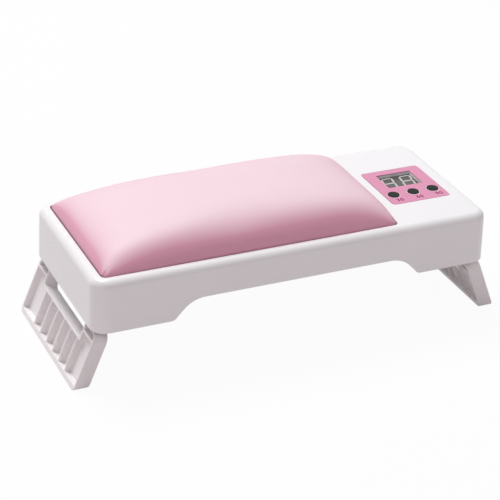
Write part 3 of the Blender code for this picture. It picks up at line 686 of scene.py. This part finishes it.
cover = linked("cushion_cover", cushion_skin())
cover = air_filled("cushion_cover", cover)
for vert in cover.data.vertices:
    vert.co = pleat(vert.co, vert.normal)
finer = cover.modifiers.new("finer", "SUBSURF")
finer.levels = finer.render_levels = 1
finer.boundary_smooth = "PRESERVE_CORNERS"
cover = plain_mesh("cushion_cover", cover)
closed_below(cover)
cover.data.shade_smooth()
cover.data.set_sharp_from_angle(angle=sharp_angle)
dress(cover, leatherette(), "case", "pink_leather", "cushion")

# Control panel
# A printed pink film lies in a shallow recess of the top face, with a window for the display and a hole
# round each button. Under each hole its time is printed in a deeper pink.
film_pink = (0.68, 0.255, 0.41)
film_ink = (0.24, 0.012, 0.085)
film_low, film_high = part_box("panel_overlay")
film_mid = (film_low + film_high) / 2
film_corner = 0.0030
film_hole_margin = 0.0007
window_length = 0.0308
window_width = 0.0232
window_back_shift = 0.0102
window_corner = 0.0003
button_names = ("button_30", "button_60", "button_90")
button_flange_width = 0.0013
print_height = 0.0042
print_side_shift = 0.0010
print_front_shift = 0.0096
print_thickness = 0.00004
print_boldness = 0.00010
print_steps = 4
print_spacing = 1.12
figure_share = 0.7
film_roughness = 0.32
film_roughness_spread = 0.08
film_shade = 0.95
film_shade_scale = 60.0
film_gloss_scale = 300.0
film_grain_scale = 4500.0
film_grain_depth = 0.000008
ink_roughness = 0.50
ink_shine = 0.12


def round_rectangle(length, width, radius, x, y, steps=8):
    """Points of a rectangle with round corners, anticlockwise."""
    points = []
    for quarter, (a, b) in enumerate(((1, 1), (-1, 1), (-1, -1), (1, -1))):
        centre = (x + a * (length / 2 - radius), y + b * (width / 2 - radius))
        turns = [math.pi / 2 * (quarter + k / steps) for k in range(steps + 1)] if radius else [0.0]
        points += [(centre[0] + radius * math.cos(turn), centre[1] + radius * math.sin(turn)) for turn in turns]
    return points


def circle(radius, x, y, steps=48):
    """Points of a circle, anticlockwise."""
    turns = [2 * math.pi * k / steps for k in range(steps)]
    return [(x + radius * math.cos(turn), y + radius * math.sin(turn)) for turn in turns]


def flat_plate(name, outlines, low, high):
    """Closed outlines filled and drawn out from low to high, with holes where an outline lies in another."""
    curve = bpy.data.curves.new(name, "CURVE")
    curve.dimensions = "2D"
    curve.fill_mode = "BOTH"
    curve.extrude = (high - low) / 2
    for points in outlines:
        spline = curve.splines.new("POLY")
        spline.points.add(len(points) - 1)
        for point, (x, y) in zip(spline.points, points):
            point.co = (x, y, 0, 1)
        spline.use_cyclic_u = True
    return closed_up(plain_mesh(name, linked(name + "_guide", curve)), (0, 0, (low + high) / 2))


def printed_film(name, colour, roughness, shine=0.5):
    """Satin plastic film printed on its back: an even colour under a very fine texture."""
    finish = Finish(name, {"IOR": 1.5, "Specular IOR Level": shine})
    dull = tuple(channel * film_shade for channel in colour)
    finish.feed({
        "Base Color": finish.blend(dull, colour, finish.noise(film_shade_scale, 2.0)),
        "Roughness": finish.noise(film_gloss_scale, 2.0) * film_roughness_spread + roughness,
        "Normal": finish.bump(finish.noise(film_grain_scale, 1.0), film_grain_depth),
    })
    return finish.material


window_y = film_mid.y + window_back_shift
button_low, button_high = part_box(button_names[0])
button_radius = (button_high.x - button_low.x) / 2 - button_flange_width
film_outlines = [round_rectangle(film_high.x - film_low.x, film_high.y - film_low.y, film_corner,
                                 film_mid.x, film_mid.y),
                 round_rectangle(window_length, window_width, window_corner, film_mid.x, window_y, 3)]
for button in button_names:
    spot = box_middle(button)
    film_outlines.append(circle(button_radius + film_hole_margin, spot.x, spot.y))
film = flat_plate("panel_film", film_outlines, film_low.z, film_high.z)
dress(film, printed_film("pink_film", film_pink, film_roughness), "case", "pink_film", "panel_overlay")

ink = printed_film("print_ink", film_ink, ink_roughness, ink_shine)
for button in button_names:
    spot = box_middle(button)
    seconds = button.split("_")[1]
    text = bpy.data.curves.new("print_" + seconds, "FONT")
    text.body = seconds
    text.size = print_height / figure_share
    text.align_x = "CENTER"
    text.align_y = "CENTER"
    text.extrude = print_thickness / 2
    text.offset = print_boldness
    text.resolution_u = print_steps
    text.space_character = print_spacing
    guide = linked("print_guide", text)
    place = (spot.x + print_side_shift, spot.y - print_front_shift, film_high.z + print_thickness / 2)
    figures = closed_up(plain_mesh("print_" + seconds, guide), place)
    dress(figures, ink, "case", "pink_film")

# Display
# A smoked cover lies on the display in the window's well. Two figures of seven pale segments, unlit, are
# moulded into its face.
cover_thickness = 0.0013
cover_gap = 0.0002
cover_corner = 0.0002
figure_length = 0.0092
figure_width = 0.0170
figure_pitch = 0.0166
figure_middle_shift = 0.0015
figure_back = 0.0095
figure_slant = 0.15
segment_width = 0.00150
segment_gap = 0.00020
segment_thickness = 0.00008
face_colour = (0.085, 0.072, 0.070)
face_roughness = 0.26
segment_colour = (0.56, 0.59, 0.55)
segment_roughness = 0.40
face_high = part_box("display_module")[1]


def coat(material, *names):
    """Gives CAD nodes that show as they are their finish."""
    for name in names:
        nodes[name].data.materials.clear()
        nodes[name].data.materials.append(material)


def segment_outline(start, end):
    """A bar from start to end with pointed ends."""
    a, b = Vector(start), Vector(end)
    along = (b - a).normalized()
    across = Vector((-along.y, along.x)) * segment_width / 2
    inset = along * segment_width / 2
    a, b = a + along * segment_gap, b - along * segment_gap
    points = [a, a + inset - across, b - inset - across, b, b - inset + across, a + inset + across]
    return [(point.x, point.y) for point in points]


smoked = printed_film("display_face", face_colour, face_roughness)
coat(smoked, "display_module")
cover_top = face_high.z + cover_thickness
smoked_outline = round_rectangle(window_length - 2 * cover_gap, window_width - 2 * cover_gap, cover_corner,
                                 film_mid.x, window_y, 3)
smoked_cover = flat_plate("display_cover", [smoked_outline], face_high.z, cover_top)
dress(smoked_cover, smoked, "case", "display_face")
segments = []
for k in (-1, 1):
    left = film_mid.x + figure_middle_shift + k * figure_pitch / 2 - figure_length / 2
    right = left + figure_length
    back = window_y + figure_back
    front = back - figure_width
    middle = (front + back) / 2
    for start, end in (((left, back), (right, back)), ((left, middle), (right, middle)),
                       ((left, front), (right, front)), ((left, front), (left, middle)),
                       ((left, middle), (left, back)), ((right, front), (right, middle)),
                       ((right, middle), (right, back))):
        start, end = ((x - (back - y) * figure_slant, y) for x, y in (start, end))
        segments.append(segment_outline(start, end))
figures = flat_plate("display_segments", segments, cover_top - segment_thickness,
                     cover_top + segment_thickness)
pale = printed_film("display_segments", segment_colour, segment_roughness)
dress(figures, pale, "case", "display_face")

# Buttons
# Three black rubber-touch caps, slightly domed, whose flanges are trapped under the top face. A white
# collar of the case stands round each of them, level with the film.
cap_steps = 64
cap_edge = 0.00015
cap_crown = 0.00012
cap_crown_rings = 6
cap_edge_rings = 5
cap_flange_thickness = 0.0014
collar_gap = 0.0002
button_black = (0.009, 0.010, 0.008)
button_roughness = 0.46
button_roughness_spread = 0.12
button_shine = 0.15
button_wear = 1.8
button_wear_scale = 400.0
button_gloss_scale = 500.0
button_grain_scale = 5000.0
button_grain_depth = 0.00001


def soft_rubber(name, colour, roughness):
    """Rubber-touch lacquer: near black, with a fine broken gloss."""
    finish = Finish(name, {"IOR": 1.45, "Specular IOR Level": button_shine})
    worn = tuple(channel * button_wear for channel in colour)
    finish.feed({
        "Base Color": finish.blend(colour, worn, finish.noise(button_wear_scale, 3.0) ** 2.0),
        "Roughness": finish.noise(button_gloss_scale, 3.0) * button_roughness_spread + roughness,
        "Normal": finish.bump(finish.noise(button_grain_scale, 1.0), button_grain_depth),
    })
    return finish.material


rubber = soft_rubber("button_rubber", button_black, button_roughness)
for button in button_names:
    low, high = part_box(button)
    spot = (low + high) / 2
    flange_radius = (high.x - low.x) / 2
    flange_top = low.z + cap_flange_thickness
    shoulder = high.z - cap_crown - cap_edge
    face_radius = button_radius - cap_edge
    profile = [(0, high.z)]
    for k in range(1, cap_crown_rings + 1):
        profile.append((face_radius * k / cap_crown_rings, high.z - cap_crown * (k / cap_crown_rings) ** 2))
    for k in range(1, cap_edge_rings + 1):
        turn = math.pi / 2 * k / cap_edge_rings
        profile.append((face_radius + cap_edge * math.sin(turn), shoulder + cap_edge * math.cos(turn)))
    profile += [(button_radius, flange_top), (flange_radius, flange_top), (flange_radius, low.z), (0, low.z)]
    cap = turned(button + "_cap", profile, spot.x, spot.y, cap_steps)
    dress(cap, rubber, button, "black_rubber", button)
    rings = [circle(button_radius + film_hole_margin - collar_gap / 4, spot.x, spot.y),
             circle(button_radius + collar_gap, spot.x, spot.y)]
    collar = flat_plate(button + "_collar", rings, film_low.z, film_high.z)
    dress(collar, white_plastic, "case", "white_plastic")

# Lamps
# Twelve lamps shine down through holes in a bright reflector sheet: each is a clear moulded lens with a
# flange, over a yellow chip. They sit on a white board that is screwed up under the deck.
lens_radius = 0.0030
lens_flange_thickness = 0.0009
lens_edge = 0.0002
lens_rings = 8
lens_steps = 32
lens_clear = (0.97, 0.98, 0.98)
lens_ior = 1.49
lens_roughness = 0.02
lens_roughness_spread = 0.06
lens_gloss_scale = 800.0
lens_wave_scale = 700.0
lens_wave_depth = 0.00002
chip_pale = (0.88, 0.66, 0.14)
chip_deep = (0.80, 0.52, 0.06)
chip_roughness = 0.40
chip_roughness_spread = 0.15
chip_grain_scale = 3000.0
chip_gloss_scale = 2500.0
reflector_bright = (0.89, 0.90, 0.91)
reflector_dull = (0.82, 0.83, 0.84)
reflector_roughness = 0.08
reflector_roughness_spread = 0.08
reflector_shade_scale = 40.0
reflector_gloss_scale = 120.0
reflector_ripple_scale = 35.0
reflector_ripple_depth = 0.00015
chip_side = 0.0011
chip_thickness = 0.0003
lamp_names = tuple(f"lamp_{number:02d}" for number in range(1, 13))


def clear_moulding():
    """Clear lens plastic, with a faint waviness from its mould."""
    finish = Finish("clear_lens", {"Base Color": lens_clear, "Transmission Weight": 1.0, "IOR": lens_ior})
    finish.feed({
        "Roughness": finish.noise(lens_gloss_scale, 2.0) * lens_roughness_spread + lens_roughness,
        "Normal": finish.bump(finish.noise(lens_wave_scale, 1.0), lens_wave_depth),
    })
    return finish.material


def chip_coating():
    """The yellow coating over the light-giving chip, slightly grainy."""
    finish = Finish("chip_coating", {"IOR": 1.45})
    finish.feed({
        "Base Color": finish.blend(chip_deep, chip_pale, finish.noise(chip_grain_scale, 2.0)),
        "Roughness": finish.noise(chip_gloss_scale, 2.0) * chip_roughness_spread + chip_roughness,
    })
    return finish.material


def reflector_sheet():
    """Bright aluminium film on a plastic sheet: nearly a mirror, with faint ripples."""
    finish = Finish("reflector_sheet", {"Metallic": 1.0})
    gloss = finish.noise(reflector_gloss_scale, 3.0)
    finish.feed({
        "Base Color": finish.blend(reflector_dull, reflector_bright, finish.noise(reflector_shade_scale, 2.0)),
        "Roughness": gloss * reflector_roughness_spread + reflector_roughness,
        "Normal": finish.bump(finish.noise(reflector_ripple_scale, 2.0), reflector_ripple_depth),
    })
    return finish.material


lens_low, lens_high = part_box(lamp_names[0])
lens_drop = lens_high.z - lens_low.z
flange_radius = (lens_high.x - lens_low.x) / 2
dome_centre = lens_radius - lens_drop
profile = [(0, 0), (flange_radius - lens_edge, 0), (flange_radius, -lens_edge),
           (flange_radius, lens_edge - lens_flange_thickness),
           (flange_radius - lens_edge, -lens_flange_thickness), (lens_radius, -lens_flange_thickness)]
for k in range(lens_rings + 1):
    turn = math.pi / 2 * k / lens_rings
    profile.append((lens_radius * math.cos(turn), dome_centre - lens_radius * math.sin(turn)))
profile[-1] = (0, -lens_drop)
clear = clear_moulding()
lens_places = [Vector((box_middle(name).x, box_middle(name).y, lens_high.z)) for name in lamp_names]
lens_unit = turned("lens_unit", profile, 0, 0, lens_steps)
lenses = repeated("lamp_lenses", lens_unit, lens_places, clear, 0.0, 1)
dress(lenses, clear, "case", "clear_lens", *lamp_names)
chip_shape = bmesh.new()
chip_size = Matrix.Diagonal((2 * chip_side, 2 * chip_side, chip_thickness, 1))
bmesh.ops.create_cube(chip_shape, size=1, matrix=chip_size)
bmesh.ops.bevel(chip_shape, geom=chip_shape.edges, offset=chip_thickness / 4, segments=2, profile=0.5,
                affect="EDGES")
chip_unit = linked("chip_unit", mesh_of("chip_unit", chip_shape))
chip_coat = chip_coating()
chip_places = [place - Vector((0, 0, lens_flange_thickness)) for place in lens_places]
chips = repeated("lamp_chips", chip_unit, chip_places, chip_coat, 0.0, 1)
dress(chips, chip_coat, "case", "clear_lens")
coat(reflector_sheet(), "reflector")

# Boards and fittings inside
# They show only through gaps and openings: two circuit boards, the cushion's fibreboard, switches, plugs,
# a lead, pins and screws. The power inlet shows in the back wall, with its barrel round a thin pin.
inlet_edge = 0.0003
black_colour = (0.028, 0.028, 0.030)
black_roughness = 0.38
black_grain_size = 0.0004
nylon_colour = (0.74, 0.73, 0.69)
nylon_roughness = 0.45
nylon_grain_size = 0.0006
fine_grain_depth = 0.00001
green_mask = (0.015, 0.13, 0.05)
green_track = (0.05, 0.26, 0.11)
white_mask = (0.74, 0.75, 0.73)
white_track = (0.84, 0.85, 0.83)
track_scale = 90.0
track_bend = 1.5
track_limit = 0.80
patch_scale = 70.0
patch_limit = 0.48
track_share = 0.8
track_rise = 0.00003
board_roughness = 0.28
board_roughness_spread = 0.10
board_gloss_scale = 200.0
fibre_dark = (0.12, 0.08, 0.05)
fibre_pale = (0.26, 0.18, 0.11)
fibre_scale = 900.0
fibre_depth = 0.00008
fibre_roughness = 0.75
fibre_roughness_spread = 0.10
fibre_gloss_scale = 300.0


def circuit_board(name, mask, track):
    """A solder mask over copper tracks, which show as paler bands."""
    finish = Finish(name, {"IOR": 1.5})
    bands = finish.node("ShaderNodeTexWave", {"Vector": finish.place, "Scale": track_scale,
                                              "Distortion": track_bend, "Detail": 1.0}) > track_limit
    tracks = bands * (finish.noise(patch_scale, 1.0) > patch_limit)
    finish.feed({
        "Base Color": finish.blend(mask, track, tracks * track_share),
        "Roughness": finish.noise(board_gloss_scale, 2.0) * board_roughness_spread + board_roughness,
        "Normal": finish.bump(tracks, track_rise),
    })
    return finish.material


def fibreboard():
    """Pressed wood fibre: short brown strands, quite matt."""
    finish = Finish("fibreboard", {"IOR": 1.45})
    strands = finish.noise(fibre_scale, 5.0, 0.7)
    finish.feed({
        "Base Color": finish.blend(fibre_dark, fibre_pale, strands),
        "Roughness": finish.noise(fibre_gloss_scale, 2.0) * fibre_roughness_spread + fibre_roughness,
        "Normal": finish.bump(strands, fibre_depth),
    })
    return finish.material


black_plastic = moulded_plastic("black_plastic", black_colour, black_roughness, black_grain_size,
                                fine_grain_depth)
nylon = moulded_plastic("white_nylon", nylon_colour, nylon_roughness, nylon_grain_size, fine_grain_depth)
switch_names = tuple(name.replace("button", "tact_switch") for name in button_names)
inlet = eased_copy("power_inlet", "dc_jack", inlet_edge, lambda edge: True)
dress(inlet, black_plastic, "case", "black_plastic", "dc_jack")
coat(circuit_board("green_board", green_mask, green_track), "control_board")
coat(circuit_board("white_board", white_mask, white_track), "lamp_board")
coat(fibreboard(), "cushion_board")
coat(black_plastic, "lamp_lead", *switch_names)
coat(nylon, "lamp_plug", "control_plug")
coat(steel, *(name for name in nodes if name.startswith("hinge_pin") or "_screw_" in name and
              name not in screw_names))

# Floor and light
# A white table and a white room, with one broad lamp above and behind, a little to the left, and two weak
# ones in front that reach under the case.
plain_white = (1, 1, 1, 1)
room_colour = (1.0, 0.93, 0.955, 1.0)
room_strength = 0.34
floor_colour = (0.80, 0.735, 0.75)
floor_half = 4.0
floor_glow_share = 0.95
room = bpy.context.scene.world or bpy.data.worlds.new("room")
bpy.context.scene.world = room
room.use_nodes = True
room_tree = room.node_tree
room_tree.nodes.clear()
room_light = room_tree.nodes.new("ShaderNodeBackground")
room_light.inputs["Color"].default_value = room_colour
room_light.inputs["Strength"].default_value = room_strength
room_seen = room_tree.nodes.new("ShaderNodeBackground")
room_seen.inputs["Color"].default_value = plain_white
room_seen.inputs["Strength"].default_value = 1.0
room_mix = room_tree.nodes.new("ShaderNodeMixShader")
room_out = room_tree.nodes.new("ShaderNodeOutputWorld")


def seen_share(tree):
    """1 for rays from the camera, a mirror or glass, and 0 for those that light a surface."""
    path = tree.nodes.new("ShaderNodeLightPath")
    total = path.outputs["Is Camera Ray"]
    for name in ("Is Glossy Ray", "Is Transmission Ray"):
        both = tree.nodes.new("ShaderNodeMath")
        both.operation = "MAXIMUM"
        tree.links.new(total, both.inputs[0])
        tree.links.new(path.outputs[name], both.inputs[1])
        total = both.outputs[0]
    return total


room_tree.links.new(seen_share(room_tree), room_mix.inputs[0])
room_tree.links.new(room_light.outputs[0], room_mix.inputs[1])
room_tree.links.new(room_seen.outputs[0], room_mix.inputs[2])
room_tree.links.new(room_mix.outputs[0], room_out.inputs[0])

floor_corners = [(a * floor_half, b * floor_half, 0) for a, b in ((-1, -1), (1, -1), (1, 1), (-1, 1))]
floor_mesh = bpy.data.meshes.new("floor")
floor_mesh.from_pydata(floor_corners, [], [(0, 1, 2, 3)])
floor = linked("floor", floor_mesh)
floor_paint = Finish("floor_white", {"Base Color": floor_colour, "Roughness": 0.9, "Specular IOR Level": 0.0})
tree = floor_paint.tree
glow = tree.nodes.new("ShaderNodeEmission")
glow.inputs["Color"].default_value = plain_white
glow.inputs["Strength"].default_value = 1.0
floor_mix = tree.nodes.new("ShaderNodeMixShader")
floor_seen = Wire(floor_paint, seen_share(tree)) * floor_glow_share
tree.links.new(floor_seen.socket, floor_mix.inputs[0])
tree.links.new(floor_paint.shader.outputs[0], floor_mix.inputs[1])
tree.links.new(glow.outputs[0], floor_mix.inputs[2])
tree.links.new(floor_mix.outputs[0], tree.nodes["Material Output"].inputs["Surface"])
floor_mesh.materials.append(floor_paint.material)


def lamp(name, place, aim, size, power, colour):
    """A round soft lamp at a place, turned towards its aim."""
    light = bpy.data.lights.new(name, "AREA")
    light.shape = "DISK"
    light.size = size
    light.energy = power
    light.color = colour
    holder = linked(name, light)
    holder.location = place
    holder.rotation_mode = "QUATERNION"
    holder.rotation_quaternion = (Vector(aim) - Vector(place)).to_track_quat("-Z", "Y")


lamp("key_lamp", place=(-0.27, 0.80, 1.85), aim=(0, 0, 0.08), size=1.0, power=35.0,
     colour=(0.97, 1.0, 1.0))
lamp("fill_lamp", place=(-1.10, -0.85, 0.30), aim=(0.05, 0, 0.05), size=0.9, power=1.7,
     colour=(1.0, 0.95, 0.96))
lamp("right_lamp", place=(0.90, -1.20, 0.50), aim=(0.15, 0, 0.04), size=0.8, power=1.3,
     colour=(1.0, 0.96, 0.97))
